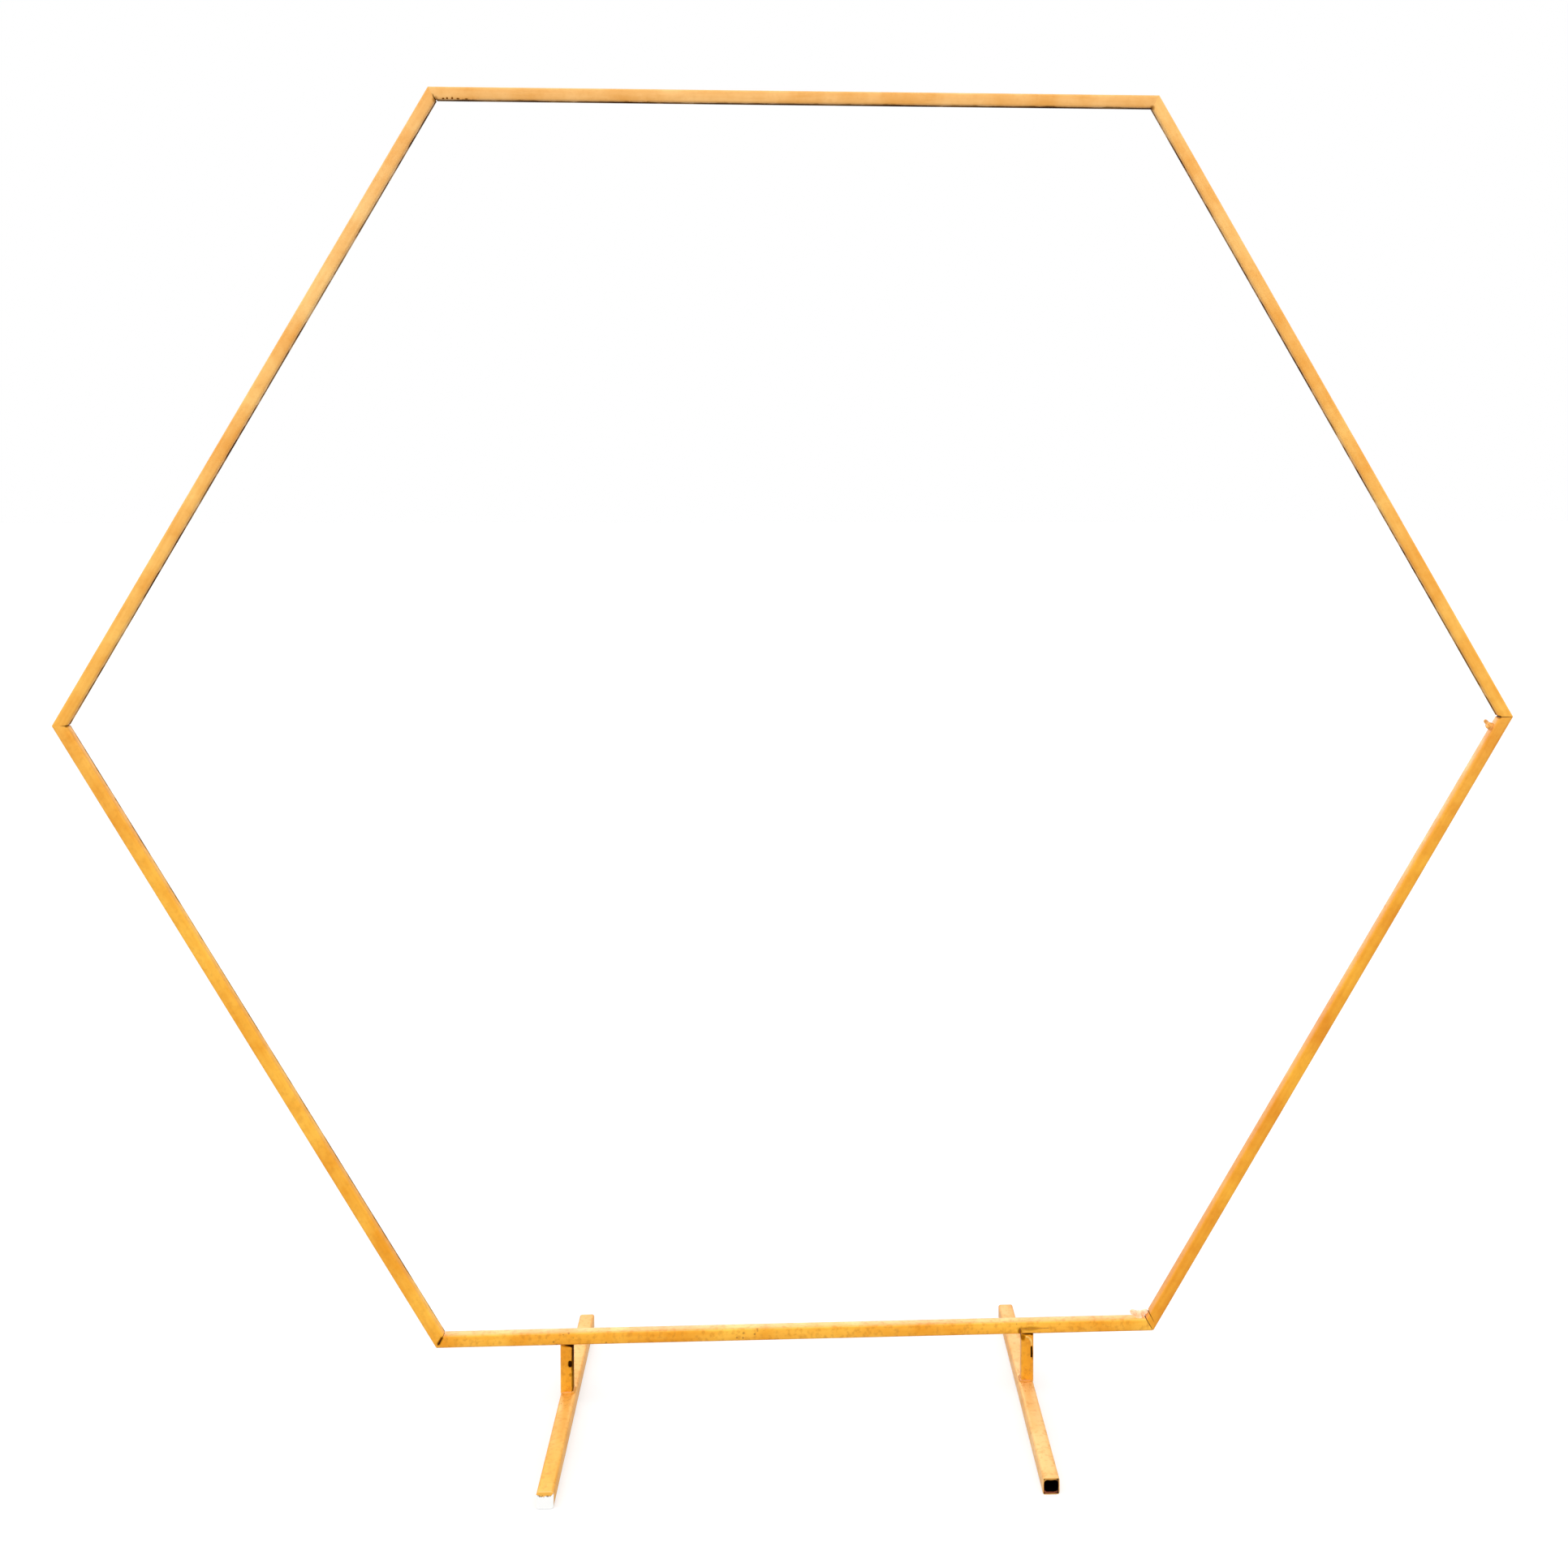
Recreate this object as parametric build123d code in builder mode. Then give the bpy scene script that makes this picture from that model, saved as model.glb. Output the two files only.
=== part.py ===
from build123d import *
from math import atan2, sin, tan
import os

# Hexagonal wedding arch of painted square steel tube on two separate feet.
# Millimetres. X runs to the right, Y to the back, Z up, and the floor is Z = 0.
# The origin lies on the floor, midway between the feet and halfway along them.

# Hexagon, measured over its outer faces, a little wider than a regular one
frame_height = 2000.0
frame_width = 2330.0
level_bar_length = 1155.0
tube_size = 20.0
tube_wall = 1.2
tube_radius = 3.0

# Feet, which lie on the floor from front to back
foot_length = 600.0
foot_size = 25.0
foot_wall = 1.5
foot_radius = 4.0
feet_overall_width = 762.0

# Plug that closes the left foot's front end; the right foot has lost its own
plug_head_thickness = 3.0
plug_head_bevel = 0.8
plug_stem_length = 14.0
plug_stem_wall = 2.0
plug_stem_clearance = 0.2

# Risers, cut from the hexagon's tube, which lift it off the feet
riser_height = 78.0
riser_setback = 15.0

# Rough cuts off the tops of the risers, which fall to the right
left_cut_width = 13.0
left_cut_drop = 5.0
right_cut_width = 16.0
right_cut_drop = 1.4

# Holes through the front walls of the risers, placed from the riser's base and right side
left_hole_width = 6.0
left_hole_height = 11.0
left_hole_level = 47.5
left_hole_side_distance = 4.5
right_hole_width = 3.0
right_hole_height = 19.0
right_hole_level = 48.5
right_hole_side_distance = 3.4

# Saw cuts through the front of the bottom bar, over the right riser
upright_cut_width = 1.8
upright_cut_height = 10.0
upright_cut_side_gap = 1.1
level_cut_width = 1.2
level_cut_rise = 9.0
level_cut_overrun = 24.5

# Bar ends: how far each stops short of its mitre, given at depths below the outer face
end_overshoot = 5.0
crack_start_depth = 10.0
crack_width = 0.9
seam_outer_gap = 0.2
seam_inner_gap = 0.6
seam_spot_depth = 16.0
seam_spot_gap = 1.8
open_mitre_closed_depth = 4.0
open_mitre_widest_depth = 7.0
open_mitre_widest_gap = 1.7
open_mitre_inner_gap = 0.4
open_mitre_blunt_length = 4.0
open_mitre_blunt_depth = 0.9
collar_joint_outer_gap = 0.8
collar_joint_inner_gap = 1.5
collar_outer_length = 1.0
collar_length = 9.0
collar_corner_depth = 6.0
beyond_collar_outer_gap = 0.2
beyond_collar_inner_gap = 1.6

# Inner elbows of the three corners that come apart
elbow_clearance = 0.3
elbow_wall = 2.0
elbow_radius = 1.8
elbow_arm_length = 45.0

# Wing screws that hold the elbows, placed from the inner corner
bottom_screw_distance = 11.0
bottom_screw_turn = 90.0
right_screw_distance = 20.0
right_screw_turn = -20.0
screw_diameter = 6.0
screw_hole_clearance = 0.3
screw_end_length = 3.0
hub_base_diameter = 13.0
hub_top_diameter = 9.5
hub_height = 8.5
wing_span = 29.0
wing_height = 12.0
wing_thickness = 5.0
wing_tip_radius = 3.8
wing_root_radius = 3.6
wing_edge_bevel = 1.0

# Fillet welds round the riser bases
weld_leg = 3.0
weld_face_radius = 4.5

# Corners of the hexagon, as signs across and up from its centre
right = (1, 0)
top_right = (1, 1)
top_left = (-1, 1)
left = (-1, 0)
bottom_left = (-1, -1)
bottom_right = (1, -1)

frame_bottom = foot_size + riser_height
bar_slope = atan2(frame_height / 2, (frame_width - level_bar_length) / 2)
frame_origin = (0, riser_setback, frame_bottom + frame_height / 2)
frame_plane = Plane(frame_origin, x_dir=(1, 0, 0), z_dir=(0, -1, 0))


def corner(place, depth=0.0):
    """Corner of the hexagon that lies this far in from the outer faces, in its plane."""
    across, up = place
    if up == 0:
        return Vector(across * (frame_width / 2 - depth / sin(bar_slope)), 0)
    half_length = level_bar_length / 2 - depth * tan(bar_slope / 2)
    return Vector(across * half_length, up * (frame_height / 2 - depth))


def in_space(point):
    """Turns a point of the hexagon's plane into a point in space."""
    return frame_plane.from_local_coords(point)


def along_bar(place, next_place):
    """Unit vector from one corner towards the next, in the hexagon's plane."""
    return (corner(next_place) - corner(place)).normalized()


def end_cut(place, next_place, gaps):
    """Line that ends a bar at a corner, from (depth, gap) pairs that run inwards."""
    along = along_bar(place, next_place)
    outside = (-end_overshoot, gaps[0][1])
    inside = (tube_size + end_overshoot, gaps[-1][1])
    return [corner(place, depth) + along * gap for depth, gap in (outside, *gaps, inside)]


def tube_profile(size, wall, radius):
    """Cross-section of a square tube with rounded edges."""
    RectangleRounded(size, size, radius)
    RectangleRounded(size - 2 * wall, size - 2 * wall, radius - wall / 2, mode=Mode.SUBTRACT)


def drill_screw_hole(seat):
    """Drills a clearance hole for a wing screw inwards from its seat."""
    with Locations(seat):
        Hole(screw_diameter / 2 + screw_hole_clearance, depth=tube_size / 2)


def frame_tube(label, place, next_place, first_cut, last_cut, seats=()):
    """Straight tube along one side of the hexagon, kept between two end cuts."""
    start = in_space(corner(place, tube_size / 2))
    end = in_space(corner(next_place, tube_size / 2))
    with BuildPart() as tube:
        with BuildSketch(Plane((start + end) / 2, x_dir=(0, 1, 0), z_dir=end - start)):
            tube_profile(tube_size, tube_wall, tube_radius)
        extrude(amount=(end - start).length / 2 + tube_size, both=True)
        with BuildSketch(frame_plane):
            with BuildLine():
                Polyline(*first_cut, *reversed(last_cut), close=True)
            make_face()
        extrude(amount=tube_size, both=True, mode=Mode.INTERSECT)
        for seat in seats:
            drill_screw_hole(seat)
    tube.part.label = label
    return tube.part


def side_bar(label, place, next_place, first_gaps, last_gaps, seats=()):
    """Bar of the hexagon from one corner to the next."""
    first_cut = end_cut(place, next_place, first_gaps)
    last_cut = end_cut(next_place, place, last_gaps)
    return frame_tube(label, place, next_place, first_cut, last_cut, seats)


def corner_elbow(label, place, neighbours, seats=()):
    """Mitred inner tube with one arm inside each of the two bars that meet at a corner."""
    bend = corner(place, tube_size / 2)
    first_end, last_end = [bend + along_bar(place, other) * elbow_arm_length for other in neighbours]
    size = tube_size - 2 * tube_wall - 2 * elbow_clearance
    with BuildPart() as elbow:
        with BuildLine():
            path = Polyline(in_space(first_end), in_space(bend), in_space(last_end))
        with BuildSketch(Plane(path @ 0, x_dir=(0, 1, 0), z_dir=path % 0)):
            tube_profile(size, elbow_wall, elbow_radius)
        sweep(transition=Transition.RIGHT)
        for seat in seats:
            drill_screw_hole(seat)
    elbow.part.label = label
    return elbow.part


def screw_seat(place, next_place, distance, turn):
    """Place on a bar's inner face, this far from a corner, facing the hexagon's opening."""
    along = along_bar(place, next_place)
    point = corner(place, tube_size) + along * distance
    inwards = along * point.dot(along) - point
    z_dir = in_space(inwards) - in_space(Vector(0, 0))
    return Plane(in_space(point), x_dir=(0, 1, 0), z_dir=z_dir) * Rotation(0, 0, turn)


def wing_screw(label, seat):
    """Screw with a tapered hub and two ears, whose shank ends inside the elbow."""
    shank_length = tube_wall + elbow_clearance + elbow_wall + screw_end_length
    with BuildPart() as screw:
        with BuildSketch(Plane.XZ):
            with Locations((0, hub_height - wing_root_radius)):
                Circle(wing_root_radius)
            with Locations((wing_span / 2 - wing_tip_radius, wing_height - wing_tip_radius)):
                Circle(wing_tip_radius)
            make_hull()
            mirror(about=Plane.YZ)
        extrude(amount=wing_thickness / 2, both=True)
        chamfer(screw.faces().filter_by(Plane.XZ).edges(), wing_edge_bevel)
        with BuildSketch(Plane.XZ):
            with BuildLine():
                Polyline(
                    (0, -shank_length),
                    (screw_diameter / 2, -shank_length),
                    (screw_diameter / 2, 0),
                    (hub_base_diameter / 2, 0),
                    (hub_top_diameter / 2, hub_height),
                    (0, hub_height),
                    close=True,
                )
            make_face()
        revolve(axis=Axis.Z)
    placed = screw.part.moved(seat)
    placed.label = label
    return placed


def foot_end(side, distance):
    """Upright plane across a foot, this far behind its front end and facing the back."""
    centre_x = side * (feet_overall_width - foot_size) / 2
    return Plane((centre_x, distance - foot_length / 2, foot_size / 2), x_dir=(1, 0, 0), z_dir=(0, 1, 0))


def foot(label, side, front_gap):
    """Tube on the floor; side is -1 for the left foot and 1 for the right one."""
    with BuildPart() as tube:
        with BuildSketch(foot_end(side, front_gap)):
            tube_profile(foot_size, foot_wall, foot_radius)
        extrude(amount=foot_length - front_gap)
    tube.part.label = label
    return tube.part


def foot_plug(label, side):
    """End plug with a bevelled head that covers the tube and a hollow stem inside it."""
    stem_size = foot_size - 2 * foot_wall - 2 * plug_stem_clearance
    with BuildPart() as plug:
        with BuildSketch(foot_end(side, 0)):
            RectangleRounded(foot_size, foot_size, foot_radius)
        extrude(amount=plug_head_thickness)
        chamfer(plug.faces().sort_by(Axis.Y)[0].edges(), plug_head_bevel)
        with BuildSketch(foot_end(side, plug_head_thickness)):
            tube_profile(stem_size, plug_stem_wall, foot_radius - foot_wall / 2)
        extrude(amount=plug_stem_length)
    plug.part.label = label
    return plug.part


def riser_front(side):
    """Upright plane through a riser's middle, with its origin at the riser's base."""
    centre_x = side * (feet_overall_width - tube_size) / 2
    return Plane((centre_x, riser_setback, foot_size), x_dir=(1, 0, 0), z_dir=(0, -1, 0))


def riser(label, side, cut_width, cut_drop, hole_width, hole_height, hole_place):
    """Upright tube on a foot, with a rough cut off its top and a rounded hole in its front."""
    front = riser_front(side)
    with BuildPart() as tube:
        with BuildSketch(Plane(front.origin)):
            tube_profile(tube_size, tube_wall, tube_radius)
        extrude(amount=riser_height)
        with BuildSketch(front):
            with BuildLine():
                Polyline(
                    (tube_size / 2 - cut_width, riser_height),
                    (tube_size / 2, riser_height - cut_drop),
                    (tube_size / 2, riser_height),
                    close=True,
                )
            make_face()
        extrude(amount=tube_size, both=True, mode=Mode.SUBTRACT)
        with BuildSketch(front):
            with Locations(hole_place):
                SlotOverall(hole_height, hole_width, rotation=90)
        extrude(amount=tube_size, mode=Mode.SUBTRACT)
    tube.part.label = label
    return tube.part


def riser_weld(label, side):
    """Weld bead on top of a foot, round the three sides of the riser that face inwards."""
    base = riser_front(side).origin
    outer_x = base.X + side * (tube_size / 2 - tube_radius)
    inner_x = base.X - side * tube_size / 2
    first_y = base.Y - side * tube_size / 2
    last_y = base.Y + side * tube_size / 2
    with BuildPart() as weld:
        with BuildLine():
            path = FilletPolyline(
                (outer_x, first_y, foot_size),
                (inner_x, first_y, foot_size),
                (inner_x, last_y, foot_size),
                (outer_x, last_y, foot_size),
                radius=tube_radius,
            )
        with BuildSketch(Plane(path @ 0, x_dir=(0, -side, 0), z_dir=path % 0)):
            with BuildLine():
                Polyline((0, weld_leg), (0, 0), (weld_leg, 0))
                RadiusArc((weld_leg, 0), (0, weld_leg), weld_face_radius)
            make_face()
        sweep()
    weld.part.label = label
    return weld.part


closed = ((0, 0), (tube_size, 0))
cracked = ((0, 0), (crack_start_depth, 0), (tube_size, crack_width))
seam = ((0, seam_outer_gap), (seam_spot_depth, seam_inner_gap), (tube_size, seam_spot_gap))
open_mitre = (
    (0, open_mitre_blunt_length),
    (open_mitre_blunt_depth, 0),
    (open_mitre_closed_depth, 0),
    (open_mitre_widest_depth, open_mitre_widest_gap),
    (tube_size, open_mitre_inner_gap),
)
collar_joint = ((0, collar_joint_outer_gap), (tube_size, collar_joint_inner_gap))
collar_end = ((0, collar_outer_length), (collar_corner_depth, collar_length), (tube_size, collar_length))
beyond_collar = (
    (0, collar_outer_length + beyond_collar_outer_gap),
    (collar_corner_depth, collar_length + beyond_collar_outer_gap),
    (tube_size, collar_length + beyond_collar_inner_gap),
)

bottom_seat = screw_seat(bottom_right, bottom_left, bottom_screw_distance, bottom_screw_turn)
right_seat = screw_seat(right, bottom_right, right_screw_distance, right_screw_turn)
left_hole_place = (tube_size / 2 - left_hole_side_distance, left_hole_level)
right_hole_place = (tube_size / 2 - right_hole_side_distance, right_hole_level)

pieces = [
    side_bar("upper_right_bar", right, top_right, seam, closed),
    side_bar("top_bar", top_right, top_left, closed, cracked),
    side_bar("upper_left_bar", top_left, left, cracked, cracked),
    side_bar("lower_left_bar", left, bottom_left, cracked, open_mitre),
    side_bar("lower_right_bar", bottom_right, right, beyond_collar, seam, [right_seat]),
    frame_tube(
        "lower_right_collar",
        bottom_right,
        right,
        end_cut(bottom_right, right, closed),
        end_cut(bottom_right, right, collar_end),
    ),
    corner_elbow("lower_left_elbow", bottom_left, [left, bottom_right]),
    corner_elbow("lower_right_elbow", bottom_right, [bottom_left, right], [bottom_seat]),
    corner_elbow("right_elbow", right, [bottom_right, top_right], [right_seat]),
    wing_screw("lower_right_wing_screw", bottom_seat),
    wing_screw("right_wing_screw", right_seat),
    foot("left_foot", side=-1, front_gap=plug_head_thickness),
    foot("right_foot", side=1, front_gap=0),
    foot_plug("left_foot_plug", side=-1),
    riser(
        "left_riser",
        -1,
        left_cut_width,
        left_cut_drop,
        left_hole_width,
        left_hole_height,
        left_hole_place,
    ),
    riser(
        "right_riser",
        1,
        right_cut_width,
        right_cut_drop,
        right_hole_width,
        right_hole_height,
        right_hole_place,
    ),
    riser_weld("left_riser_weld", side=-1),
    riser_weld("right_riser_weld", side=1),
]

# Bottom bar, with an upright and a level saw cut over the right riser
with BuildPart() as bottom_bar:
    add(side_bar("plain_bar", bottom_left, bottom_right, open_mitre, collar_joint, [bottom_seat]))
    cut_right = -tube_size / 2 - upright_cut_side_gap
    cut_left = cut_right - upright_cut_width
    with BuildSketch(riser_front(side=1)):
        with Locations((cut_left, riser_height)):
            Rectangle(upright_cut_width, upright_cut_height, align=Align.MIN)
        with Locations((cut_left, riser_height + level_cut_rise)):
            Rectangle(
                tube_size / 2 + level_cut_overrun - cut_left,
                level_cut_width,
                align=(Align.MIN, Align.CENTER),
            )
    extrude(amount=tube_size, mode=Mode.SUBTRACT)
bottom_bar.part.label = "bottom_bar"
pieces.append(bottom_bar.part)

os.makedirs("parts", exist_ok=True)
for piece in pieces:
    export_step(piece, f"parts/{piece.label}.step")
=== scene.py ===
from math import atan2, pi, radians, sin, tan

import bpy
import numpy as np
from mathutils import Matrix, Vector


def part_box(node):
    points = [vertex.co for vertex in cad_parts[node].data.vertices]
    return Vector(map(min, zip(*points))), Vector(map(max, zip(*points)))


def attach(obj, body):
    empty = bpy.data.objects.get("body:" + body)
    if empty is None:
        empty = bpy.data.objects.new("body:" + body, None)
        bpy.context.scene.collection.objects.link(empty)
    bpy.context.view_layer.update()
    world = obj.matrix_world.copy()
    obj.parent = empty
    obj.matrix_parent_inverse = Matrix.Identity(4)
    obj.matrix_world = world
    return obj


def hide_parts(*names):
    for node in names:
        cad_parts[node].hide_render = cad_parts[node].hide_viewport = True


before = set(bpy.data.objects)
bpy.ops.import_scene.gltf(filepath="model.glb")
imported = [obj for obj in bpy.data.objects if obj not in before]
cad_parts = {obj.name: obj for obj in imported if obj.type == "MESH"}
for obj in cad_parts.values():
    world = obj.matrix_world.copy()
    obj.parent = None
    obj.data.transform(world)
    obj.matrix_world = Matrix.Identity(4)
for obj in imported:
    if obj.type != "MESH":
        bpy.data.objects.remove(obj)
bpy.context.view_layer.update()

# Sizes are in metres. X runs to the right, Y to the back and Z up from the floor.
MM = 0.001
FRONT = (0.0, -1.0, 0.0)
BACK = (0.0, 1.0, 0.0)
UP = (0.0, 0.0, 1.0)

# Where the tubes are, from the frame's own boxes

top_low, top_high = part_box("top_bar")
bottom_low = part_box("bottom_bar")[0]
left_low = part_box("upper_left_bar")[0]
left_riser_low, left_riser_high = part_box("left_riser")
right_riser_low, right_riser_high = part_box("right_riser")
left_foot_low, left_foot_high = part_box("left_foot")
right_foot_low, right_foot_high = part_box("right_foot")

# Each side of the stand: the corners of its riser's box and of its foot's
STAND = {
    "left": (left_riser_low, left_riser_high, left_foot_low, left_foot_high),
    "right": (right_riser_low, right_riser_high, right_foot_low, right_foot_high),
}

tube = top_high.z - top_low.z
tube_wall = 1.2 * MM
foot_tube = left_foot_high.z - left_foot_low.z
foot_wall = 1.5 * MM
under_bar = bottom_low.z

hexagon_half_height = (top_high.z - bottom_low.z) / 2
hexagon_half_width = -left_low.x
half_level = (top_high.x - top_low.x) / 2
bar_slope = atan2(hexagon_half_height, hexagon_half_width - half_level)
hexagon_centre = Vector((0, (top_low.y + top_high.y) / 2, bottom_low.z + hexagon_half_height))

# The corners at each bar's ends, as signs across and up from the hexagon's centre. The collar
# lies in line with the lower right bar
BARS = {
    "upper_right_bar": ((1, 1), (1, 0)),
    "top_bar": ((-1, 1), (1, 1)),
    "upper_left_bar": ((-1, 0), (-1, 1)),
    "lower_left_bar": ((-1, 0), (-1, -1)),
    "bottom_bar": ((-1, -1), (1, -1)),
    "lower_right_bar": ((1, -1), (1, 0)),
    "lower_right_collar": ((1, -1), (1, 0)),
}


def corner(place, depth):
    """Corner of the hexagon this far in from its outer faces, in its middle plane."""
    across, up = place
    if up == 0:
        return hexagon_centre + Vector((across * (hexagon_half_width - depth / sin(bar_slope)), 0, 0))
    half_length = half_level - depth * tan(bar_slope / 2)
    return hexagon_centre + Vector((across * half_length, 0, up * (hexagon_half_height - depth)))


# Node helpers


def colour(hex_code):
    """Turns an sRGB hex colour into the linear one that a shader takes."""
    parts = np.array([int(hex_code[i : i + 2], 16) / 255 for i in (1, 3, 5)])
    linear = np.where(parts <= 0.04045, parts / 12.92, ((parts + 0.055) / 1.055) ** 2.4)
    return (*linear.tolist(), 1.0)


def add_node(tree, kind, sockets=(), **settings):
    """Adds a node, sets its properties, and fills its sockets, given by name or in their order.

    A socket takes a value, an output to link from, or a node, which stands for its first output.
    """
    node = tree.nodes.new("ShaderNode" + kind)
    for name, value in settings.items():
        setattr(node, name, value)
    for key, value in sockets.items() if isinstance(sockets, dict) else enumerate(sockets):
        if isinstance(value, bpy.types.Node):
            value = next(output for output in value.outputs if output.enabled)
        if isinstance(value, bpy.types.NodeSocket):
            tree.links.new(value, node.inputs[key])
        else:
            node.inputs[key].default_value = value
    return node


def new_material(name):
    """A material and its node tree, which is empty."""
    material = bpy.data.materials.new(name)
    material.use_nodes = True
    material.node_tree.nodes.clear()
    return material, material.node_tree


# Layers of the gold paint. A MapRange node takes a value, the range it comes from and the range
# it goes to, which is 0 to 1 where none is given, and holds the ends. Each layer is a share from
# 0 to 1 of its own colour over what lies under it.

# Pale tone of the painted highlight on the faces turned towards the light
PAINTED_HIGHLIGHT_TONE = "#ffc4a0"
FIRST_COAT = "#cf8008"
DIRT = "#8c4e08"
# Brown of burns and of painted shade beside the joints
BURN_AND_SHADE = "#8c4c00"
# Dark brown of a sparse coat and of painted shade on the side away from the light
THIN_COAT_AND_SHADE = "#301202"


def sprayed_coats(tree, coords, shifted, clouds, first_pair, last_pair, fade):
    """Colour of the coats, which overlap in clouds and streaks and drift between the points of fade.

    clouds is a pair of noises, the broad one and the finer one that lies on it.
    """
    # Streaks of 6 mm, drawn out along the tube to about 85 mm
    stretched = add_node(tree, "Mapping", {"Vector": shifted, "Scale": (0.07, 1, 1)})
    streaks = add_node(
        tree, "TexNoise", {"Vector": stretched, "Scale": 1 / (6 * MM), "Detail": 2.0, "Roughness": 0.5}
    )
    blend = 0.0
    for pattern, weight in zip((*clouds, streaks), (0.55, 0.3, 0.25)):
        part = add_node(tree, "MapRange", (pattern, 0.35, 0.65, 0.0, weight))
        blend = add_node(tree, "Math", (blend, part), operation="ADD")
    # The tone of the spray drifts from one end of the piece to the other
    start, end = Vector(fade[0]), Vector(fade[1])
    way = (end - start) / (end - start).length_squared
    from_start = add_node(tree, "VectorMath", (coords, start), operation="SUBTRACT")
    along = add_node(tree, "VectorMath", (from_start, way), operation="DOT_PRODUCT")
    drift = add_node(tree, "MapRange", (along, 0.0, 1.0))
    bright, deep = [
        add_node(tree, "Mix", {"Factor": drift, "A": colour(first), "B": colour(last)}, data_type="RGBA")
        for first, last in zip(first_pair, last_pair)
    ]
    return add_node(tree, "Mix", {"Factor": blend, "A": bright, "B": deep}, data_type="RGBA")


def painted_highlight(tree, facing, most):
    """Pale tone painted on the faces that look up and to the left: a painted highlight where the light
    falls.
    """
    up_left = Vector((-0.35, 0, 1)).normalized()
    toward_light = add_node(tree, "VectorMath", (facing, up_left), operation="DOT_PRODUCT")
    return add_node(tree, "MapRange", (toward_light, 0.35, 0.95, 0.0, most))


def bare_patches(tree, shifted, speckle):
    """Patches of 8 mm where a darker first coat shows through, most where there is most dirt."""
    patches = add_node(
        tree, "TexNoise", {"Vector": shifted, "Scale": 1 / (8 * MM), "Detail": 2.0, "Roughness": 0.6}
    )
    return add_node(tree, "MapRange", (patches, 0.5, 0.68, 0.0, min(0.6, 2.6 * speckle)))


def pits_and_dirt(tree, shifted, speckle):
    """Spots 1 to 3 mm across in cells of 12 mm, which gather in patches of 60 mm."""
    cells = add_node(tree, "TexVoronoi", {"Vector": shifted, "Scale": 1 / (12 * MM)})
    patches = add_node(tree, "TexNoise", {"Vector": shifted, "Scale": 1 / (60 * MM), "Detail": 1.0})
    spot_size = add_node(tree, "MapRange", (patches, 0.45, 0.7, 0.0, speckle))
    spots = add_node(tree, "Math", (spot_size, cells), operation="SUBTRACT")
    return add_node(tree, "MapRange", (spots, 0.0, 0.1, 0.0, 0.6))


def burn_and_shade_marks(tree, coords, fine_clouds, marks):
    """Brown marks, each a place, its half lengths and its strength: burns that heat and handling left, dark
    joints, and painted shade under the bottom bar, on the risers and round the open mitre.
    """
    share = 0.0
    wobble = add_node(tree, "MapRange", (fine_clouds, 0.3, 0.7, -0.25, 0.25))
    for place, half_lengths, strength in marks:
        offset = add_node(tree, "VectorMath", (coords, place), operation="SUBTRACT")
        scaled = add_node(tree, "VectorMath", (offset, half_lengths), operation="DIVIDE")
        away = add_node(tree, "VectorMath", (scaled,), operation="LENGTH")
        ragged = add_node(tree, "Math", (away, wobble), operation="ADD")
        spot = add_node(tree, "MapRange", (ragged, 0.45, 1.0, strength, 0.0))
        share = add_node(tree, "Math", (share, spot), operation="MAXIMUM")
    return share


def thin_and_shaded_side(tree, across, clouds, half_size, dark_side):
    """Sparse dark coat and painted shade, with a ragged edge, on the side turned away from the spray and
    the light.

    The last argument gives that side as a sign on the tube's Z, how far in from its face the dark coat
    reaches, and where on the tube's Y the full coat ends that wraps round from the front.
    """
    broad, fine = clouds
    side, inset, wrap = dark_side
    edge = half_size - inset
    ragged = add_node(tree, "MapRange", (fine, 0.3, 0.7, -0.6 * MM, 0.6 * MM))
    sideways = add_node(tree, "Math", (across["Z"], float(side)), operation="MULTIPLY")
    sideways = add_node(tree, "Math", (sideways, ragged), operation="ADD")
    by_side = add_node(tree, "MapRange", (sideways, edge - 0.5 * MM, edge + 0.5 * MM, 0.0, 0.95))
    wavy = add_node(tree, "Math", (ragged, 3.0), operation="MULTIPLY")
    backward = add_node(tree, "Math", (wavy, across["Y"]), operation="ADD")
    by_wrap = add_node(tree, "MapRange", (backward, wrap - 1.5 * MM, wrap + 1.5 * MM, 0.0, 0.95))
    thin_and_shade = add_node(tree, "Math", (by_side, by_wrap), operation="MINIMUM")
    patchy = add_node(tree, "MapRange", (broad, 0.38, 0.6, 0.72, 1.0))
    return add_node(tree, "Math", (thin_and_shade, patchy), operation="MULTIPLY")


def unpainted_bore(tree, across, half_size, wall):
    """1 inside the tube, which was never painted, and 0 outside. The bars' bores are rusty, and the feet's
    are near black, painted shade of their deep open ends.
    """
    away = [add_node(tree, "Math", (across[axis],), operation="ABSOLUTE") for axis in ("Y", "Z")]
    away = add_node(tree, "Math", away, operation="MAXIMUM")
    return add_node(tree, "Math", (away, half_size - wall * 0.9), operation="LESS_THAN")


def paint_relief(tree, local, shifted, facing, turn, half_size, crown, coarse):
    """Direction in which the painted surface faces, with its crown, its lumps and its orange peel."""
    # The drawn tube's faces are slightly crowned, so the light turns a little across each one
    spread = crown / half_size
    lean = add_node(tree, "VectorMath", (local, (0, spread, spread)), operation="MULTIPLY")
    lean = add_node(tree, "Mapping", {"Vector": lean, "Rotation": turn}, vector_type="POINT")
    crowned = add_node(tree, "VectorMath", (facing, lean), operation="ADD")
    crowned = add_node(tree, "VectorMath", (crowned,), operation="NORMALIZE")
    # Orange peel of 3 mm and soft lumps of 14 mm: (pattern size, strength, height)
    surface = crowned
    for size, strength, height in ((3 * MM, 0.02, 0.3 * MM), (14 * MM, 0.08, 1 * MM)):
        bumps = add_node(tree, "TexNoise", {"Vector": shifted, "Scale": 1 / size, "Detail": 1.0})
        surface = add_node(
            tree,
            "Bump",
            {"Height": bumps, "Strength": strength + coarse, "Distance": height, "Normal": surface},
        )
    return surface


# Materials


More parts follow.
